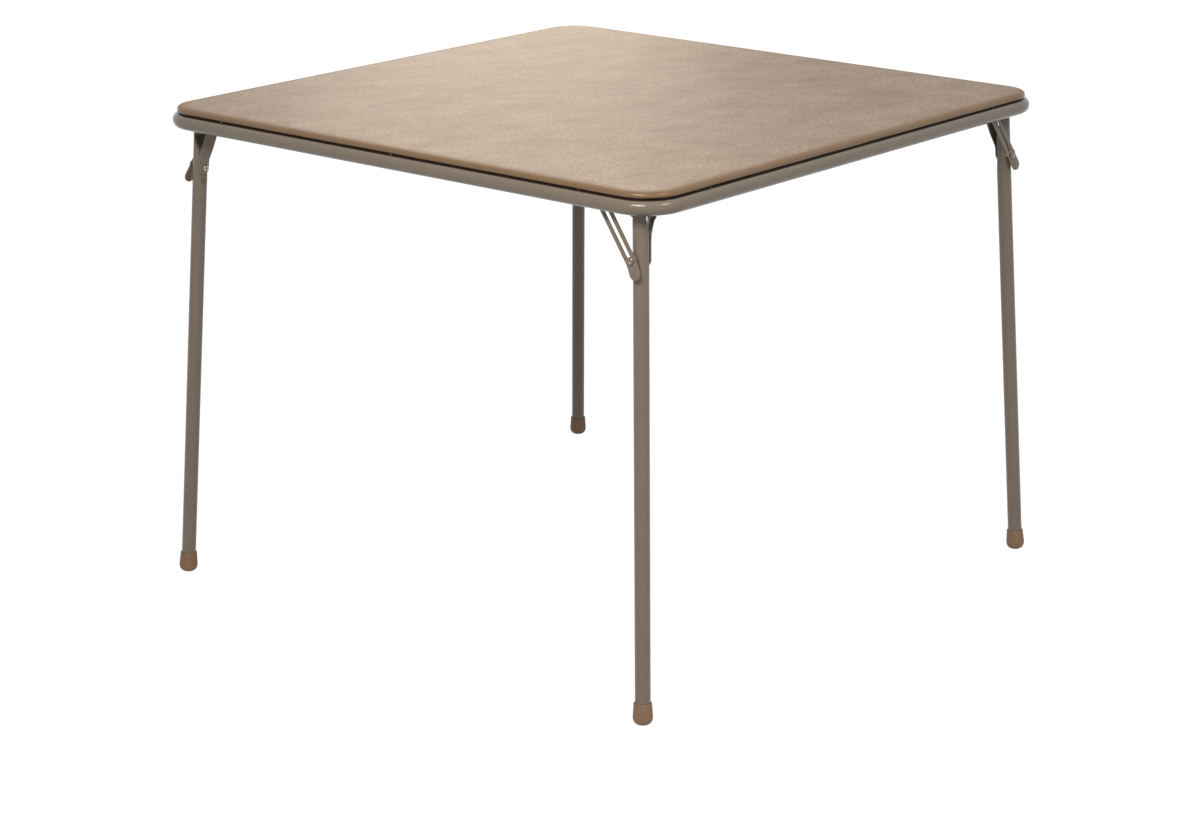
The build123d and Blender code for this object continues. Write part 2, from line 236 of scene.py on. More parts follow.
back = Vector(
    (math.sin(AZIMUTH) * math.cos(ELEVATION), -math.cos(AZIMUTH) * math.cos(ELEVATION), math.sin(ELEVATION))
)
right = Vector((math.cos(AZIMUTH), math.sin(AZIMUTH), 0))
up = back.cross(right)
level_right = math.cos(ROLL) * right + math.sin(ROLL) * up
level_up = math.cos(ROLL) * up - math.sin(ROLL) * right
camera_place = Matrix((level_right, level_up, back)).transposed().to_4x4()
camera_place.translation = Vector(CAMERA_PLACE) * MM
lens = bpy.data.cameras.new("portrait_camera")
lens.sensor_width = 36
lens.lens = 87.20
camera = bpy.data.objects.new("portrait_camera", lens)
camera.matrix_world = camera_place
bpy.context.scene.collection.objects.link(camera)
bpy.context.scene.camera = camera
bpy.context.scene.view_settings.view_transform = "Standard"
print("lens", lens.lens, "mm at", [round(value, 3) for value in camera.location])

# %% [markdown]
# Colours and nodes.
# Colours are noted as they look on screen, in hex, and one function turns them to the linear values
# that a shader mixes. One more function adds a node with its settings and links, which keeps each
# material short enough to read as a recipe.

# %% Colour and node tools
def tint(code):
    """A screen colour such as 8C7C6D as a linear colour."""
    values = [int(code[start:start + 2], 16) / 255 for start in (0, 2, 4)]
    return (*(v / 12.92 if v < 0.04045 else ((v + 0.055) / 1.055) ** 2.4 for v in values), 1)


def add(tree, kind, settings=None, links=None):
    """One node, with sockets or properties set by name or number, and its inputs linked."""
    node = tree.nodes.new("ShaderNode" + kind)
    for key, value in (settings or {}).items():
        if isinstance(key, int) or key in node.inputs:
            node.inputs[key].default_value = value
        else:
            setattr(node, key, value)
    for key, socket in (links or {}).items():
        tree.links.new(socket, node.inputs[key])
    return node


def new_finish(name):
    """An empty material with its shader, and the surface's own coordinates in metres."""
    material = bpy.data.materials.new(name)
    material.use_nodes = True
    tree = material.node_tree
    shader = tree.nodes["Principled BSDF"]
    place = add(tree, "TexCoord").outputs["Object"]
    return material, tree, shader, place


def feed(tree, shader, **sockets):
    """Links sockets to the shader: colour, gloss, metal and relief."""
    inputs = {"colour": "Base Color", "gloss": "Roughness", "metal": "Metallic", "relief": "Normal"}
    for name, socket in sockets.items():
        tree.links.new(socket, shader.inputs[inputs[name]])


def per_mm(size):
    """Texture scale for features that are this many millimetres across."""
    return 1 / (size * MM)


print("tint of mid grey:", [round(value, 3) for value in tint("808080")])

# %% [markdown]
# Baked paint on steel tube.
# The frame, legs and levers are sprayed with a taupe enamel and baked. Such paint flows a little
# before it sets, which leaves a faint orange peel of about 2 mm, and it is satin, so a lamp shows
# as a soft bright spot. Its colour drifts a little where the coat is thin.

# %% Baked satin enamel
def satin_enamel(name):
    """Sprayed and baked paint with orange peel."""
    material, tree, shader, place = new_finish(name)
    drift = add(tree, "TexNoise", {"Scale": per_mm(70), "Detail": 3}, {"Vector": place})
    speck = add(tree, "TexNoise", {"Scale": per_mm(1.1), "Detail": 2}, {"Vector": place})
    level = add(
        tree, "Mix", {0: 0.3, "data_type": "FLOAT"}, {2: drift.outputs["Fac"], 3: speck.outputs["Fac"]}
    )
    colour = add(
        tree,
        "Mix",
        {"data_type": "RGBA", 6: tint("8D7C69"), 7: tint("7E6F5D")},
        {0: level.outputs[0]},
    )
    gloss = add(
        tree,
        "MapRange",
        {"From Min": 0.3, "From Max": 0.7, "To Min": 0.15, "To Max": 0.22},
        {"Value": drift.outputs["Fac"]},
    )
    peel = add(tree, "TexNoise", {"Scale": per_mm(2.2), "Detail": 1}, {"Vector": place})
    relief = add(
        tree, "Bump", {"Strength": 0.25, "Distance": 0.05 * MM}, {"Height": peel.outputs["Fac"]}
    )
    feed(tree, shader, colour=colour.outputs[2], gloss=gloss.outputs[0], relief=relief.outputs[0])
    return material, tree, shader, colour.outputs[2]


enamel = satin_enamel("baked_taupe_enamel")[0]
print("paint:", enamel.name)

# %% [markdown]
# Painted shade along the frame.
# The frame has the same paint, with one thing more: the shade that the overhanging padded edge
# casts on the crown of the tube is painted in, so above a height of 737 mm the paint turns nearly
# black. The height comes from the surface's own coordinates, so no mask has to be painted.

# %% Enamel of the frame
# Heights between which the painted shade on the crown of the tube fades in.
UNSHADED_BELOW, SHADED_ABOVE = 736.9 * MM, 737.7 * MM

rail_enamel, tree, shader, painted = satin_enamel("baked_taupe_enamel_of_the_frame")
height = add(tree, "SeparateXYZ", {}, {0: add(tree, "TexCoord").outputs["Object"]})
seam = add(
    tree,
    "MapRange",
    {"From Min": UNSHADED_BELOW, "From Max": SHADED_ABOVE, "To Max": 0.92},
    {"Value": height.outputs["Z"]},
)
# Painted shade: the crown of the tube under the padded edge is mixed towards near black (1C1510).
seam_shaded = add(
    tree, "Mix", {"data_type": "RGBA", 7: tint("1C1510")}, {0: seam.outputs[0], 6: painted}
)
feed(tree, shader, colour=seam_shaded.outputs[2])
print("paint:", rail_enamel.name)

# %% [markdown]
# Bright zinc on rivets and pins.
# Small hardware is plated with zinc and left bare. It is a metal, so its colour tints the
# reflection, and a fine crystal pattern makes some patches duller than others.

# %% Zinc plate
def zinc_plate():
    """Electroplated zinc on turned steel."""
    material, tree, shader, place = new_finish("zinc_plated_steel")
    crystals = add(tree, "TexVoronoi", {"Scale": per_mm(1.6)}, {"Vector": place})
    haze = add(tree, "TexNoise", {"Scale": per_mm(5), "Detail": 4}, {"Vector": place})
    colour = add(
        tree,
        "Mix",
        {"data_type": "RGBA", 6: tint("C9C6BE"), 7: tint("A9A59B")},
        {0: haze.outputs["Fac"]},
    )
    gloss = add(
        tree, "MapRange", {"To Min": 0.22, "To Max": 0.42}, {"Value": crystals.outputs["Distance"]}
    )
    relief = add(
        tree, "Bump", {"Strength": 0.2, "Distance": 0.02 * MM}, {"Height": haze.outputs["Fac"]}
    )
    shader.inputs["Metallic"].default_value = 1
    feed(tree, shader, colour=colour.outputs[2], gloss=gloss.outputs[0], relief=relief.outputs[0])
    return material


zinc = zinc_plate()
print("plate:", zinc.name)

# %% [markdown]
# Painted stud with a worn head.
# The lock studs are painted with the frame, but the lever rubs their heads, so bright steel shows
# through in small patches. One noise decides where: above a threshold the surface is metal.

# %% Worn enamel
def worn_enamel():
    """Enamel rubbed through to steel in patches a few millimetres wide."""
    material, tree, shader, place = new_finish("worn_taupe_enamel")
    wear = add(tree, "TexNoise", {"Scale": per_mm(3.2), "Detail": 5}, {"Vector": place})
    bare = add(
        tree, "MapRange", {"From Min": 0.58, "From Max": 0.64}, {"Value": wear.outputs["Fac"]}
    )
    colour = add(
        tree,
        "Mix",
        {"data_type": "RGBA", 6: tint("8A7966"), 7: tint("CFC9BC")},
        {0: bare.outputs[0]},
    )
    gloss = add(tree, "MapRange", {"To Min": 0.34, "To Max": 0.22}, {"Value": bare.outputs[0]})
    relief = add(
        tree,
        "Bump",
        {"Strength": 0.4, "Distance": 0.05 * MM, "invert": True},
        {"Height": bare.outputs[0]},
    )
    feed(tree, shader, colour=colour.outputs[2], gloss=gloss.outputs[0])
    feed(tree, shader, metal=bare.outputs[0], relief=relief.outputs[0])
    return material


worn = worn_enamel()
print("stud finish:", worn.name)

# %% [markdown]
# A print like pale hide.
# The top is a sheet of soft PVC, printed to look like hide. Three scales make the print: cloudy
# patches about a hand long, drawn out slantwise as the sheet is when it leaves the rollers, darker
# creases that wander and fade, and flecks of about 5 mm. The creases are the borders of wide cells,
# shifted by a noise so that they wander, and a second noise lets them fade out here and there.

# %% Hide print
def hide_print(tree, place):
    """The printed colour, and how strong its creases are from 0 to 1."""
    swept = add(
        tree,
        "Mapping",
        {"vector_type": "TEXTURE", "Rotation": (0, 0, math.radians(-20)), "Scale": (1, 1.8, 1)},
        {"Vector": place},
    )
    clouds = add(
        tree,
        "TexNoise",
        {"Scale": per_mm(58), "Detail": 7, "Roughness": 0.62},
        {"Vector": swept.outputs[0]},
    )
    patch = add(
        tree, "MapRange", {"From Min": 0.34, "From Max": 0.66}, {"Value": clouds.outputs["Fac"]}
    )
    ground = add(
        tree,
        "Mix",
        {"data_type": "RGBA", 6: tint("C2A992"), 7: tint("9F876E")},
        {0: patch.outputs[0]},
    )
    drift = add(tree, "TexNoise", {"Scale": per_mm(40), "Detail": 4}, {"Vector": place})
    wander = add(
        tree,
        "VectorMath",
        {"operation": "MULTIPLY_ADD", 1: (60 * MM, 60 * MM, 60 * MM)},
        {0: drift.outputs["Color"], 2: swept.outputs[0]},
    )
    cells = add(
        tree,
        "TexVoronoi",
        {"feature": "DISTANCE_TO_EDGE", "Scale": per_mm(52)},
        {"Vector": wander.outputs[0]},
    )
    crease = add(
        tree,
        "MapRange",
        {"From Max": 0.05, "To Min": 1, "To Max": 0},
        {"Value": cells.outputs["Distance"]},
    )
    fade = add(tree, "TexNoise", {"Scale": per_mm(34), "Detail": 3}, {"Vector": swept.outputs[0]})
    here = add(
        tree, "MapRange", {"From Min": 0.5, "From Max": 0.66}, {"Value": fade.outputs["Fac"]}
    )
    shown = add(tree, "Math", {"operation": "MULTIPLY"}, {0: crease.outputs[0], 1: here.outputs[0]})
    creased = add(
        tree,
        "Mix",
        {"data_type": "RGBA", 7: tint("86705B")},
        {0: shown.outputs[0], 6: ground.outputs[2]},
    )
    grain = add(tree, "TexNoise", {"Scale": per_mm(5), "Detail": 3}, {"Vector": place})
    fleck = add(
        tree,
        "MapRange",
        {"From Min": 0.38, "From Max": 0.6, "To Max": 0.75},
        {"Value": grain.outputs["Fac"]},
    )
    flecked = add(
        tree,
        "Mix",
        {"data_type": "RGBA", 7: tint("8D7762")},
        {0: fleck.outputs[0], 6: creased.outputs[2]},
    )
    return flecked.outputs[2], shown.outputs[0]


print("print of the cover ready")

# %% [markdown]
# The edge of the sheet.
# Where the sheet rolls over the edge the print gives way to its tan base colour, so the height on
# the table picks between the two. In the seam where the cover meets the tube, the shade of the gap
# is painted in, nearly black. This painted shade darkens only what stands upright there, which the
# surface's normal tells, and the hem underneath is left unshaded.

# %% Tan edge and painted shade in the seam
EDGE_BELOW, PRINT_ABOVE = 748.5 * MM, 749.12 * MM
# Heights between which the painted shade in the seam fades out.
SEAM_BELOW, SEAM_ABOVE = 740.7 * MM, 741.9 * MM


def edge_and_seam(tree, place, height, printed):
    """The colour of the whole sheet, from its print, its edge and the painted shade in its seam."""
    rolled = add(
        tree,
        "MapRange",
        {"From Min": EDGE_BELOW, "From Max": PRINT_ABOVE, "To Min": 1, "To Max": 0},
        {"Value": height},
    )
    drift = add(tree, "TexNoise", {"Scale": per_mm(40), "Detail": 4}, {"Vector": place})
    edge = add(
        tree,
        "Mix",
        {"data_type": "RGBA", 6: tint("8F6D47"), 7: tint("7D5E3D")},
        {0: drift.outputs["Fac"]},
    )
    unshaded_sheet = add(
        tree, "Mix", {"data_type": "RGBA"}, {0: rolled.outputs[0], 6: printed, 7: edge.outputs[2]}
    )
    seam = add(
        tree,
        "MapRange",
        {"From Min": SEAM_BELOW, "From Max": SEAM_ABOVE, "To Min": 0.93, "To Max": 0},
        {"Value": height},
    )
    facing = add(tree, "SeparateXYZ", {}, {0: add(tree, "NewGeometry").outputs["Normal"]})
    upright = add(
        tree, "MapRange", {"From Min": -0.97, "From Max": -0.85}, {"Value": facing.outputs["Z"]}
    )
    # Painted shade: upright faces in the seam are mixed towards near black (241A12).
    seam_shade = add(
        tree, "Math", {"operation": "MULTIPLY"}, {0: seam.outputs[0], 1: upright.outputs[0]}
    )
    return add(
        tree,
        "Mix",
        {"data_type": "RGBA", 7: tint("241A12")},
        {0: seam_shade.outputs[0], 6: unshaded_sheet.outputs[2]},
    ).outputs[2]


print("tan edge from", EDGE_BELOW / MM, "to", PRINT_ABOVE / MM, "mm")

# %% [markdown]
# Embossed vinyl.
# The sheet is pressed with a leather grain, pores of about 2.4 mm, and its creases are pressed in
# as well. It is matt on top, and glossier where it is pulled tight round the edge.

# %% Embossed vinyl
GLOSSY_BELOW, MATT_ABOVE = 746.6 * MM, 747.9 * MM


def embossed_vinyl():
    """Calendered PVC sheet with a hide print and a pressed grain."""
    material, tree, shader, place = new_finish("embossed_vinyl")
    height = add(tree, "SeparateXYZ", {}, {0: place}).outputs["Z"]
    printed, creases = hide_print(tree, place)
    gloss = add(
        tree,
        "MapRange",
        {"From Min": GLOSSY_BELOW, "From Max": MATT_ABOVE, "To Min": 0.25, "To Max": 0.56},
        {"Value": height},
    )
    pores = add(tree, "TexVoronoi", {"Scale": per_mm(2.4), "feature": "SMOOTH_F1"}, {"Vector": place})
    grain = add(
        tree,
        "Bump",
        {"Strength": 0.35, "Distance": 0.12 * MM, "invert": True},
        {"Height": pores.outputs["Distance"]},
    )
    pressed = add(
        tree,
        "Bump",
        {"Strength": 0.3, "Distance": 0.15 * MM, "invert": True},
        {"Height": creases, "Normal": grain.outputs[0]},
    )
    feed(tree, shader, colour=edge_and_seam(tree, place, height, printed))
    feed(tree, shader, gloss=gloss.outputs[0], relief=pressed.outputs[0])
    return material


vinyl = embossed_vinyl()
print("cover:", vinyl.name)

# %% [markdown]
# Hardboard.
# The board under the padding is pressed wood fibre. Its back keeps the mark of the wire screen that
# it was pressed on, a small waffle with a pitch of about 1.5 mm. That is too fine to show, so it is
# drawn some six times as wide. Two wave textures, one along and one across, are multiplied.

# %% Screen back hardboard
WAFFLE_PITCH = math.tau * 1.5
WAVE_RADIANS_PER_UNIT = 20


def hardboard():
    """Pressed wood fibre with the mark of its wire screen."""
    material, tree, shader, place = new_finish("screen_back_hardboard")
    fibre = add(tree, "TexNoise", {"Scale": per_mm(6), "Detail": 8}, {"Vector": place})
    colour = add(
        tree,
        "Mix",
        {"data_type": "RGBA", 6: tint("7B593D"), 7: tint("54391F")},
        {0: fibre.outputs["Fac"]},
    )
    wire_scale = per_mm(WAFFLE_PITCH) * math.tau / WAVE_RADIANS_PER_UNIT
    along, across = (
        add(
            tree,
            "TexWave",
            {"bands_direction": way, "Scale": wire_scale, "Distortion": 0.4},
            {"Vector": place},
        ).outputs["Fac"]
        for way in ("X", "Y")
    )
    waffle = add(tree, "Math", {"operation": "MULTIPLY"}, {0: along, 1: across})
    relief = add(
        tree, "Bump", {"Strength": 0.6, "Distance": 0.2 * MM}, {"Height": waffle.outputs[0]}
    )
    shader.inputs["Roughness"].default_value = 0.72
    feed(tree, shader, colour=colour.outputs[2], relief=relief.outputs[0])
    return material


board_finish = hardboard()
print("board:", board_finish.name)

# %% [markdown]
# Moulded rubber.
# The foot tips are brown synthetic rubber from a spark-eroded mould, which leaves an even, fine
# matt texture. A painted highlight lightens the lowest centimetre a little.

# %% Foot rubber
def foot_rubber():
    """Moulded rubber with a matt skin."""
    material, tree, shader, place = new_finish("moulded_brown_rubber")
    blotch = add(tree, "TexNoise", {"Scale": per_mm(11), "Detail": 4}, {"Vector": place})
    body = add(
        tree,
        "Mix",
        {"data_type": "RGBA", 6: tint("A27F64"), 7: tint("8C6A50")},
        {0: blotch.outputs["Fac"]},
    )
    height = add(tree, "SeparateXYZ", {}, {0: place})
    # Painted highlight: the lowest centimetre of the tip is mixed towards a pale tan (B79F8A).
    low_edge_highlight = add(
        tree,
        "MapRange",
        {"From Min": 1 * MM, "From Max": 10 * MM, "To Min": 0.35, "To Max": 0},
        {"Value": height.outputs["Z"]},
    )
    colour = add(
        tree,
        "Mix",
        {"data_type": "RGBA", 7: tint("B79F8A")},
        {0: low_edge_highlight.outputs[0], 6: body.outputs[2]},
    )
    skin = add(tree, "TexNoise", {"Scale": per_mm(0.7), "Detail": 2}, {"Vector": place})
    relief = add(
        tree, "Bump", {"Strength": 0.3, "Distance": 0.06 * MM}, {"Height": skin.outputs["Fac"]}
    )
    gloss = add(
        tree, "MapRange", {"To Min": 0.5, "To Max": 0.68}, {"Value": blotch.outputs["Fac"]}
    )
    feed(tree, shader, colour=colour.outputs[2], gloss=gloss.outputs[0], relief=relief.outputs[0])
    return material


rubber = foot_rubber()
print("tips:", rubber.name)

# %% [markdown]
# Finishes on the parts that keep their shape.
# The bent tube, the brackets and the plain fasteners are right as they were built, so they only get
# their finish.

# %% Dress the built parts
finish_of = {
    "frame_tube": rail_enamel,
    "panel_board": board_finish,
    "panel_screws": zinc,
    "bracket_rivets": zinc,
    "hinge_bracket": enamel,
    "hinge_pin": zinc,
    "lever_rivet": zinc,
}
for name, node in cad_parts.items():
    base = name
    for corner in CORNERS:
        base = base.removesuffix("_" + corner)
    if base in finish_of:
        dress(node, finish_of[base])
print("dressed:", sorted(finish_of))

# %% [markdown]
# The padded top.
# The real one is a sheet of vinyl pulled over a thin foam sheet and a board, rolled round the edge
# and turned in underneath. It could be simulated as cloth, but a sheet under this much pull stays
# flat, and only its edge and its hem show that it is soft. So it is built as an upholsterer would:
# the outline first, then the roll over the edge ring by ring with the inset tool, then the hem.

# %% Outline of the top
PANEL_SIDE, PANEL_CORNER = 951.0 * MM, 55.9 * MM
WIDEST_HEIGHT, EDGE_BAND = 741.8, 0.4
# In metres and square metres: only the long sides and the two broad faces are this big.
BIG_EDGE = BIG_FACE = 0.5


def rounded_square(name, side, corner, height, segments):
    """A flat square with round corners, which stays open in edit mode."""
    drop_selection()
    bpy.ops.mesh.primitive_plane_add(size=side, location=(0, 0, height * MM))
    piece = settle(bpy.context.object)
    piece.name = name
    work_on(piece, action="SELECT")
    bpy.ops.mesh.bevel(offset=corner, offset_type="OFFSET", segments=segments, affect="VERTICES")
    return piece


def raise_all(height):
    """Extrudes everything upwards, in millimetres."""
    take_all("FACE")
    bpy.ops.mesh.extrude_region_move(TRANSFORM_OT_translate={"value": (0, 0, height * MM)})


padded_top = rounded_square("padded_top", PANEL_SIDE, PANEL_CORNER, WIDEST_HEIGHT, segments=24)
pick(padded_top, "EDGE", lambda edge: edge.calc_length() > BIG_EDGE)
bpy.ops.mesh.subdivide(number_cuts=63)
raise_all(EDGE_BAND)
print("outline points:", len(bmesh.from_edit_mesh(padded_top.data).verts) // 2)

# %% [markdown]
# Rings over the edge.
# The section of the edge was read off the photograph as a list of points: how far in from the
# outline, and how high. The upper face is inset once for each point, with the depth that brings it
# to its height, and the lower face in the same way, in under the board as far as the hem goes.

# %% Roll over the top edge and round the lower edge
TOP_ROLL = [
    (0, 743.4), (0.3, 744.9), (0.9, 746.1), (1.9, 747.15), (3.3, 747.85), (5, 748.25), (7, 748.5),
    (9.5, 748.7), (13, 748.9), (17, 749.03), (22, 749.13), (32, 749.24), (45, 749.3),
]
LOW_ROLL = [
    (0.35, 741.15), (0.8, 740.7), (1.15, 740.1), (1.4, 739.5), (1.8, 739.1), (3.6, 738.92),
    (6, 738.9), (11, 738.9), (17, 738.9), (23, 738.9), (29, 738.9), (29.05, 740.4),
]
THINNEST_RING = 0.0005


def roll_edge(rings, start_height, way):
    """Insets the big face that looks up or down, again and again along a list of rings."""
    pick(
        padded_top,
        "FACE",
        lambda face: face.calc_area() > BIG_FACE and face.normal.z * way > 0.9,
    )
    inset_now, height_now = 0, start_height
    for inset, height in rings:
        bpy.ops.mesh.inset(
            thickness=max(inset - inset_now, THINNEST_RING) * MM,
            depth=(height - height_now) * way * MM,
            use_even_offset=True,
        )
        inset_now, height_now = inset, height


roll_edge(TOP_ROLL, WIDEST_HEIGHT + EDGE_BAND, 1)
roll_edge(LOW_ROLL, WIDEST_HEIGHT, -1)
stop_work()
face_outward(padded_top)
print("top lies at", round(max(v.co.z for v in padded_top.data.vertices) / MM, 3), "mm")

# %% [markdown]
# What pulling by hand leaves behind.
# No upholsterer gets the edge perfectly even. The lower edge rides up and down by a few tenths of a
# millimetre, which the photograph shows as a dark line that varies in width, and the hem lies in
# small pleats round each corner, where a long edge had to fit a shorter one. The waves fade out
# inward and upward, so that no ring of the roll is pushed through its neighbour.

# %% Waves at the edge and pleats in the corners
# Two noises: waves per metre, and the level at which each is read.
SLOW_WAVES, QUICK_WAVES = (13, 0.37), (34, 4.1)
# Millimetres: a steady part, and the shares of the slow and the quick noise.
EDGE_WAVE, EDGE_SWELL = (0.1, 0.8, 0.3), (-0.1, 0.22, 0.08)
WAVES_INSET, WAVES_TOP, WAVES_FADE = 2.9, 744.9, 3.5
SWELL_INSET, SWELL_FLOOR = 8, 741
PLEAT_START, PLEAT_END, PLEAT_LENGTH = 12, 26.5, 14
PLEAT_DEPTH, PLEAT_WAVES, HEM_TOP = 0.5, 48, 739.5

straight = PANEL_SIDE / 2 - PANEL_CORNER


def inset_of(point):
    """Distance inward from the panel's outline, and the angle round a corner or None."""
    across = Vector((abs(point.x) - straight, abs(point.y) - straight))
    if across.x > 0 and across.y > 0:
        return PANEL_CORNER - across.length, math.atan2(across.y, across.x)
    return PANEL_CORNER - max(across.x, across.y), None


def wave_at(point, waves):
    """A smooth noise over the table, about from -1 to 1."""
    per_metre, level = waves
    return noise.noise(Vector((point.x * per_metre, point.y * per_metre, level)))


def shift_of(parts, slow, quick):
    """A shift in metres, made of a steady part and two noises."""
    return (parts[0] + parts[1] * slow + parts[2] * quick) * MM


for vertex in padded_top.data.vertices:
    point = vertex.co
    inset, angle = inset_of(point)
    slow, quick = wave_at(point, SLOW_WAVES), wave_at(point, QUICK_WAVES)
    if inset < WAVES_INSET * MM and point.z < WAVES_TOP * MM:
        fade = (1 - inset / (WAVES_INSET * MM)) * min(1, (WAVES_TOP - point.z / MM) / WAVES_FADE)
        point.z += fade * shift_of(EDGE_WAVE, slow, quick)
    if inset < SWELL_INSET * MM and point.z > SWELL_FLOOR * MM:
        outward = Vector((point.x, point.y, 0)).normalized()
        fade = 1 - inset / (SWELL_INSET * MM)
        vertex.co = point + outward * fade * shift_of(EDGE_SWELL, slow, quick)
    if angle is not None and PLEAT_START * MM < inset < PLEAT_END * MM and point.z < HEM_TOP * MM:
        fold = 0.5 - 0.5 * math.cos(angle * PLEAT_WAVES)
        point.z -= fold * PLEAT_DEPTH * (inset / MM - PLEAT_START) / PLEAT_LENGTH * MM
print("edge waved and pleated")

# %% [markdown]
# Room for the board.
# The vinyl and foam wrap the board like a shallow tray, so the board's own outline is cut out of
# the padded form with a boolean, as a cutter of the same shape.

# %% Space for the board
BOARD_SIDE, BOARD_CORNER = 944.8 * MM, 52.8 * MM
BOARD_UNDERSIDE, BOARD_ROOM = 739.66, 3.28

board_space = rounded_square("board_space", BOARD_SIDE, BOARD_CORNER, BOARD_UNDERSIDE, segments=16)
raise_all(BOARD_ROOM)
stop_work()
face_outward(board_space)
finish_with(padded_top, "BOOLEAN", operation="DIFFERENCE", object=board_space, solver="EXACT")
bpy.data.objects.remove(board_space)
dress(padded_top, vinyl)
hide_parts("vinyl_cover", "foam_pad")
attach(padded_top, "frame")
flat_faces = [face for face in padded_top.data.polygons if face.area > BIG_FACE]
print("padded top:", len(padded_top.data.polygons), "faces, widest ones at heights")
print(sorted((round(face.center.z / MM, 2), round(face.normal.z)) for face in flat_faces))

# %% [markdown]
# The slotted lever.
# Each lever is a strip stamped from 1.8 mm steel: two round ends, one long slot, and a finger tab
# that turns off line. A stamped part is an outline with holes, so the outlines are drawn as wires,
# filled together, and given their thickness. Stamping leaves edges that paint rounds a little.

# %% Outlines of the lever
LEVER_HALF_WIDTH, LEVER_REACH, TAB_RUN = 8.9, 89.864, 18.4
SLOT_HALF_WIDTH, SLOT_HIGH, SLOT_LOW = 3.1, -14.8, -90.264
NEARLY_ROUND = 0.9998
NEAR = 0.01 * MM


def round_ended(half_width, high, low, cuts):
    """A wire outline with two round ends, in X and Z, with points along its straight sides."""
    drop_selection()
    bpy.ops.mesh.primitive_plane_add(size=1, location=(0, (high + low) / 2 * MM, 0))
    outline = bpy.context.object
    outline.scale = (2 * half_width * MM, (high - low + 2 * half_width) * MM, 1)
    settle(outline)
    work_on(outline, action="SELECT")
    corner = half_width * NEARLY_ROUND * MM
    bpy.ops.mesh.bevel(offset=corner, offset_type="OFFSET", segments=14, affect="VERTICES")
    bpy.ops.mesh.select_all(action="SELECT")
    bpy.ops.mesh.remove_doubles(threshold=NEAR)
    bpy.ops.mesh.delete(type="ONLY_FACE")
    pick(outline, "EDGE", lambda edge: edge.calc_length() > 0.5 * (high - low) * MM)
    bpy.ops.mesh.subdivide(number_cuts=cuts)
    stop_work()
    return settle(outline, Matrix.Rotation(math.radians(90), 4, "X"))


blank = round_ended(LEVER_HALF_WIDTH, 0, -LEVER_REACH - TAB_RUN, cuts=110)
slot = round_ended(SLOT_HALF_WIDTH, SLOT_HIGH, SLOT_LOW, cuts=80)
print("outline points:", len(blank.data.vertices), "and", len(slot.data.vertices))

# %% [markdown]
# Shoulder, notch and turn.
# A small round shoulder stands on one edge beside the stud, and the slot's low end hooks sideways by
# a millimetre so that the stud drops in and holds the leg open. Both are moved points of the wires.
# The tab is then turned by 6.5 degrees about the stud's place.

# %% Shape the outlines
SHOULDER_RADIUS, SHOULDER_SINK = 3.4, 2
NOTCH_SHIFT = 1.4
TAB_TURN, TAB_START = math.radians(6.5), LEVER_REACH + 3.6

for vertex in blank.data.vertices:
    drop = vertex.co.z / MM + LEVER_REACH
    if vertex.co.x < 0 and abs(drop) < SHOULDER_RADIUS:
        round_part = max(SHOULDER_SINK, math.sqrt(SHOULDER_RADIUS**2 - drop**2))
        vertex.co.x = -(LEVER_HALF_WIDTH - SHOULDER_SINK + round_part) * MM
for vertex in slot.data.vertices:
    drop = vertex.co.z / MM - SLOT_LOW
    if vertex.co.x < -NEAR and abs(drop) < SLOT_HALF_WIDTH:
        vertex.co.x = -(NOTCH_SHIFT + math.sqrt(SLOT_HALF_WIDTH**2 - drop**2)) * MM
work_on(blank)
pick(blank, "VERT", lambda vertex: vertex.co.z < -TAB_START * MM)
bpy.ops.transform.rotate(
    value=TAB_TURN, orient_axis="Y", center_override=(0, 0, -LEVER_REACH * MM)
)
stop_work()
lowest = min(blank.data.vertices, key=lambda vertex: vertex.co.z)
print("tab ends at", [round(value / MM, 2) for value in lowest.co])

# %% [markdown]
# From wire to plate.
# The two wires are joined and filled as one outline with a hole. The tab is bent outward so that a
# finger gets behind it, by two millimetres only, because a folded lever lies along the frame's tube
# with little more room than that. The bend starts 4 mm beyond the stud and eases in. Solidify then
# gives the plate its thickness, and Bevel its soft edges.

# %% Fill, bend and place the lever
PLATE, EDGE_ROUND = 1.8, 0.42
BEND_START, BEND_SLOPE, BEND_EASE = 4, 0.1, 0.01
LEVER_OUT, LEVER_PIVOT, LEVER_TILT = 16.9, (53.4, 0, 4.0), math.radians(35.987)


def fill_outline(piece):
    """Closes a wire outline with faces."""
    work_on(piece, action="SELECT")
    bpy.ops.mesh.fill(use_beauty=True)
    stop_work()


def thicken(piece):
    """Gives a filled outline the thickness of the plate, with edges that paint has rounded."""
    finish_with(piece, "SOLIDIFY", thickness=PLATE * MM, offset=0)
    sharp = math.radians(50)
    finish_with(
        piece, "BEVEL", width=EDGE_ROUND * MM, segments=2, limit_method="ANGLE", angle_limit=sharp
    )
    face_outward(piece)


drop_selection()
slot.select_set(True)
blank.select_set(True)
bpy.context.view_layer.objects.active = blank
bpy.ops.object.join()
lever = bpy.context.object
fill_outline(lever)
for vertex in lever.data.vertices:
    beyond = max(0, -vertex.co.z / MM - LEVER_REACH - BEND_START)
    vertex.co.y += min(beyond * BEND_SLOPE, beyond**2 * BEND_EASE) * MM
thicken(lever)
settle(lever, place_at(0, LEVER_OUT, 0))
settle(lever, fold_frame @ place_at(*LEVER_PIVOT) @ Matrix.Rotation(LEVER_TILT, 4, "Y"))
share_out(lever, "slotted_lever", "lever", "lock_lever", enamel)

# %% [markdown]
# The legs.
# Each leg is a steel tube whose inner side is pressed in at the top, first lightly as a seat for the
# strap and then past its middle at the hinge, where the tube ends in a half round. A press leaves
# soft shoulders, and the tube spreads a little as it flattens. So the leg is turned as a plain tube
# with many rings near its top, and the rings are then moved as the press would move them.

# %% Pressed legs
LEG_RADIUS = 11.1
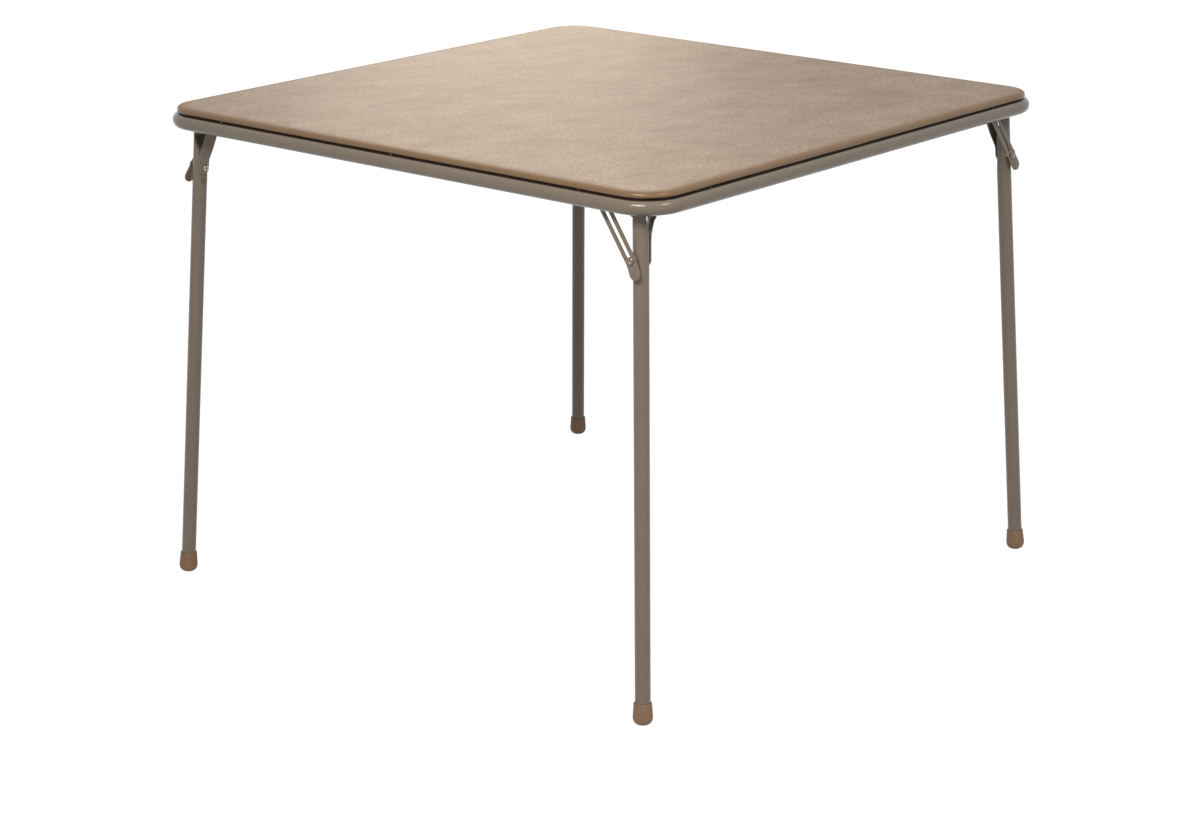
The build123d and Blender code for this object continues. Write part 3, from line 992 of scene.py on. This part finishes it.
# From the leg's axis to its flat, by height above the hinge.
PRESS = [(-97, 13.5), (-89, 8.8), (-81, 7.0), (-58, 6.9), (-41, 6.3), (-18, -1.7), (-12, -2.5)]
PRESS += [(12, -2.5)]
PRESS_SOFTNESS = 1.8
PRESS_SPREAD, FULL_SPREAD_AT = 0.05, 12
THINNEST_END = 0.002
LEG_RINGS = [-717.8, -540, -360, -200, -106, -97, -93, -89, -85, -81, -74, -66, -58, -52, -46, -41]
LEG_RINGS += [-36, -31, -27, -23, -20, -18, -15, -12, -6, 0, 2.5, 5, 7, 8.6, 9.8, 10.6, 11.05]


def along_list(stations, height):
    """Reads a value from a list of (height, value) by straight lines between its entries."""
    for (low, first), (high, last) in zip(stations, stations[1:]):
        if height <= high:
            return first + (last - first) * max(0, (height - low) / (high - low))
    return stations[-1][1]


pressed_leg = turn_on_lathe("pressed_leg", [(LEG_RADIUS, height) for height in LEG_RINGS], steps=56)
for vertex in pressed_leg.data.vertices:
    point = vertex.co / MM
    flat = along_list(PRESS, point.z)
    over = -flat - point.y
    if over > PRESS_SOFTNESS:
        point.y = -flat
    elif over > -PRESS_SOFTNESS:
        point.y += (over + PRESS_SOFTNESS) ** 2 / (4 * PRESS_SOFTNESS)
    point.x *= 1 + PRESS_SPREAD * min(1, max(0, (LEG_RADIUS - flat) / FULL_SPREAD_AT))
    if point.z > 0:
        point.x *= math.sqrt(max(THINNEST_END, 1 - (point.z / LEG_RADIUS) ** 2))
    vertex.co = point * MM
face_outward(pressed_leg)
settle(pressed_leg, leg_frame)
share_out(pressed_leg, "pressed_leg", "leg", "leg_tube", enamel)

# %% [markdown]
# The straps.
# A strap is a flat strip with round ends. Its lower end lies on the leg's flat, and from there it
# bends inward to the far end of the hinge pin, with a twist between the bends that turns its edge
# to the eye and leaves a thin gap beside the leg. The strip narrows a little there. It is drawn as
# an outline, filled, bent by moving its points, and given its thickness.

# %% Bent straps
STRAP_HALF_WIDTH, RIVET_DROP = 10.3, 68.6
STRAP_SHIFT, STRAP_NARROWING, STRAP_TWIST = 0.5, 0.2, 0.5
STRAP_BEND = [(-90, -7.85), (-60, -7.85), (-54, -8.6), (-14, -22.3), (20, -22.3)]
STRAP_TURN = [(-56, 0), (-34, 1), (-18, 1), (-8, 0)]

strap = round_ended(STRAP_HALF_WIDTH, 0, -RIVET_DROP, cuts=44)
fill_outline(strap)
for vertex in strap.data.vertices:
    point = vertex.co / MM
    turned = along_list(STRAP_TURN, point.z)
    point.x += STRAP_SHIFT * point.z / RIVET_DROP
    point.x *= 1 - STRAP_NARROWING * turned
    point.y = along_list(STRAP_BEND, point.z) - STRAP_TWIST * point.x * turned
    vertex.co = point * MM
thicken(strap)
settle(strap, leg_frame)
share_out(strap, "bent_strap", "leg", "leg_strap", enamel)

# %% [markdown]
# The bush between leg and strap.
# A short turned bush on the hinge pin keeps the strap at its distance. It is only seen from below.

# %% Hinge bushes
bush = turn_on_lathe("bush", [(4.7, -21.4), (5.0, -21.1), (5.0, 1.3), (4.7, 1.6)])
settle(bush, leg_frame @ along_y)
share_out(bush, "hinge_bush", "leg", "hinge_spacer", zinc)

# %% [markdown]
# The stud in the slot.
# A headed stud rides in the slot. Its head is a little dished, which catches the light as a small
# curved line. It is a round part, so it is turned on the lathe from (radius, height) points.

# %% Lock studs
STUD_PLACE = (0.596, 0, -68.714)

stud = turn_on_lathe(
    "stud",
    [
        (2.8, 16.0), (2.9, 16.15), (2.9, 18.1), (5.55, 18.1), (5.75, 18.35), (5.75, 19.2),
        (5.6, 19.65), (5.2, 19.95), (4.6, 20.08), (3.9, 20.02), (2.9, 19.6), (1.5, 19.38),
    ],
)
settle(stud, fold_frame @ place_at(*STUD_PLACE) @ along_y)
share_out(stud, "dished_stud", "stud", "lock_stud", worn)

# %% [markdown]
# The rivet through the leg.
# A tubular rivet joins leg and strap. Its inner end is rolled over like a doughnut round an open
# bore, and its outer end is the boss that the stud seats against.

# %% Rolled rivets
RIVET_SHIFT = 4.0

rolled_rivet = turn_on_lathe(
    "rolled_rivet",
    [
        (1.9, -1.0), (1.9, -8.8), (2.05, -9.6), (2.5, -9.98), (3.2, -10.1), (3.9, -9.98),
        (4.4, -9.6), (4.6, -9.15), (4.5, -8.85), (4.2, -8.7), (3.0, -8.7), (3.0, 11.0),
        (4.1, 11.1), (4.2, 11.3), (4.2, 15.35), (3.95, 15.65), (3.4, 15.7),
    ],
)
settle(rolled_rivet, leg_frame @ place_at(RIVET_SHIFT, 0, -RIVET_DROP) @ along_y)
share_out(rolled_rivet, "rolled_rivet", "leg", "cross_rivet", zinc)

# %% [markdown]
# The foot tips.
# A tip is a rubber sleeve over the end of the leg, widest just above the floor, with a round lip at
# its top that stands off the tube by half a millimetre and makes a dark line there. It is turned
# about the leg's own axis, then cut level where it stands, because the leg leans and the floor
# doesn't. The sole gets one shallow ring groove for grip.

# %% Foot tips
FLOOR_CUT, SOLE_BELOW = 0.01 * MM, 0.1 * MM
# The sole's rings, each as a scale and a rise in millimetres.
GROOVE = [(0.78, 0), (0.95, 0.7), (0.8, 0), (0.93, -0.7)]

tip = turn_on_lathe(
    "tip",
    [
        (5.0, -0.8), (8.1, -0.19), (10.9, 1.57), (12.95, 4.27), (14.05, 7.23), (14.3, 9.6),
        (14.25, 11.0), (13.6, 20.0), (12.95, 29.3), (12.9, 30.0), (12.7, 30.6), (12.3, 30.95),
        (11.95, 30.95), (11.65, 30.6), (11.5, 29.6), (11.3, 27.0), (11.15, 24.0), (11.15, 3.0),
    ],
    steps=64,
)
settle(tip, foot_frame)
work_on(tip, action="SELECT")
bpy.ops.mesh.bisect(
    plane_co=(0, 0, FLOOR_CUT), plane_no=(0, 0, 1), use_fill=True, clear_inner=True
)
pick(
    tip, "FACE", lambda face: face.calc_center_median().z < SOLE_BELOW and face.normal.z < -0.99
)
sole = [face for face in bmesh.from_edit_mesh(tip.data).faces if face.select]
sole_middle = sole[0].calc_center_bounds()
for ratio, rise in GROOVE:
    bpy.ops.mesh.extrude_region_move(TRANSFORM_OT_translate={"value": (0, 0, rise * MM)})
    bpy.ops.transform.resize(value=(ratio, ratio, 1), center_override=sole_middle)
stop_work()
for vertex in tip.data.vertices:
    vertex.co.z = max(0, vertex.co.z)
face_outward(tip)
across = [vertex.co.x for vertex in tip.data.vertices]
print("tip is", round((max(across) - min(across)) / MM, 2), "mm wide")
share_out(tip, "rubber_tip", "leg", "foot_tip", rubber)

# %% [markdown]
# The floor.
# The photograph has a white floor with no horizon and very faint shadows. Camera, gloss and glass
# rays see the floor mostly as plain white, so its own shading shows only a little, which leaves a
# trace of shadow under the feet. Seen from below it is clear, so that the underside can be looked
# at.

# %% White floor
FLOOR_SIZE = 40
FLOOR_GREY, FLOOR_GLOW, GLOW_SHARE = (0.45, 0.45, 0.45, 1), 1.3, 0.8


def seen_directly(tree):
    """One for rays that show the surface itself: camera, mirror and glass rays."""
    ways = add(tree, "LightPath")
    first, second = ways.outputs["Is Camera Ray"], ways.outputs["Is Glossy Ray"]
    seen = add(tree, "Math", {"operation": "MAXIMUM"}, {0: first, 1: second})
    glass = ways.outputs["Is Transmission Ray"]
    return add(tree, "Math", {"operation": "MAXIMUM"}, {0: seen.outputs[0], 1: glass}).outputs[0]


drop_selection()
bpy.ops.mesh.primitive_plane_add(size=FLOOR_SIZE, location=(0, 0, 0))
floor = settle(bpy.context.object)
floor.name = "studio_floor"
floor_finish = bpy.data.materials.new("white_studio_floor")
floor_finish.use_nodes = True
tree = floor_finish.node_tree
tree.nodes.clear()
share = add(tree, "Math", {"operation": "MULTIPLY", 1: GLOW_SHARE}, {0: seen_directly(tree)})
paint = add(tree, "BsdfDiffuse", {"Color": FLOOR_GREY})
glow = add(tree, "Emission", {"Color": (1, 1, 1, 1), "Strength": FLOOR_GLOW})
surface = add(tree, "MixShader", {}, {0: share.outputs[0], 1: paint.outputs[0], 2: glow.outputs[0]})
sides = add(tree, "NewGeometry")
clear = add(tree, "BsdfTransparent")
two_sided = add(
    tree, "MixShader", {}, {0: sides.outputs["Backfacing"], 1: surface.outputs[0], 2: clear.outputs[0]}
)
add(tree, "OutputMaterial", {}, {"Surface": two_sided.outputs[0]})
floor.data.materials.append(floor_finish)
print("floor laid")

# %% [markdown]
# World and lamps.
# The world is white for the same rays, and dim for all others, so that it fills the shadows without
# flattening them. Two soft lamps stand where the two bright spots on the near corner say that they
# stood. A third hangs over the far side, and its glancing light leaves the pale sheen that crosses
# the top.

# %% World and lamps
world = bpy.data.worlds.new("white_studio")
bpy.context.scene.world = world
world.use_nodes = True
sky = world.node_tree
sky.nodes.clear()
level = add(sky, "MapRange", {"To Min": 0.17}, {"Value": seen_directly(sky)})
studio = add(sky, "Background", {"Color": (1, 1, 1, 1)}, {"Strength": level.outputs[0]})
add(sky, "OutputWorld", {}, {"Surface": studio.outputs[0]})


def softbox(name, place, aim, width, height, watts, colour=(1, 1, 1)):
    """A rectangular soft lamp that looks at a point."""
    lamp = bpy.data.lights.new(name, "AREA")
    lamp.shape, lamp.size, lamp.size_y, lamp.energy = "RECTANGLE", width, height, watts
    lamp.color = colour
    holder = bpy.data.objects.new(name, lamp)
    holder.location = place
    holder.rotation_euler = (Vector(aim) - Vector(place)).to_track_quat("-Z", "Y").to_euler()
    bpy.context.scene.collection.objects.link(holder)


near_corner, top_middle = (0.46, -0.46, 0.73), (0, 0, 0.75)
warm_white = (1, 0.87, 0.72)
softbox("key_softbox", (0.99, -2.30, 2.34), near_corner, width=1.2, height=0.65, watts=46)
softbox("side_softbox", (3.85, 0.01, 3.78), near_corner, width=1.75, height=1.0, watts=55)
softbox(
    "back_softbox", (-1.03, 0.89, 1.24), top_middle, width=0.8, height=0.6, watts=6.2, colour=warm_white
)
print("lamps:", [light.name for light in bpy.data.lights])
